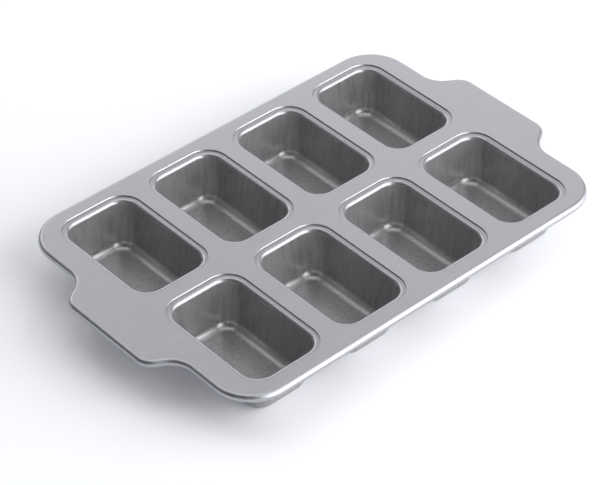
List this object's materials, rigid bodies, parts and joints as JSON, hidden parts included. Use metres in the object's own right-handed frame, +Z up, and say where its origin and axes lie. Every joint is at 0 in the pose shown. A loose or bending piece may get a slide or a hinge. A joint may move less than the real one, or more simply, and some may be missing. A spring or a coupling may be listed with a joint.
{
  "type": "mini cake pan",
  "caption": "Baking pan: a flat satin steel deck with a flared handle at each end carries rows of small oblong drawn cups for mini cakes or loaves.",
  "frame": {"origin": "on the table under the middle of the pan", "axes": "+X along the length from handle to handle, +Y across the rows of cups, +Z up out of the cups"},
  "size_m": [0.4082, 0.2578, 0.041],
  "materials": {
    "deck_sheet": "satin, finely grained aluminised steel",
    "cup_sheet": "satin, drawn aluminised steel",
    "rim_wire": "drawn bright wire"
  },
  "bodies": {
    "root": {"deck": "deck_sheet", "rim_wire": "rim_wire", "cup_front_1": "cup_sheet", "cup_front_2": "cup_sheet", "cup_front_3": "cup_sheet", "cup_front_4": "cup_sheet", "cup_back_1": "cup_sheet", "cup_back_2": "cup_sheet", "cup_back_3": "cup_sheet", "cup_back_4": "cup_sheet"}
  },
  "joints": []
}
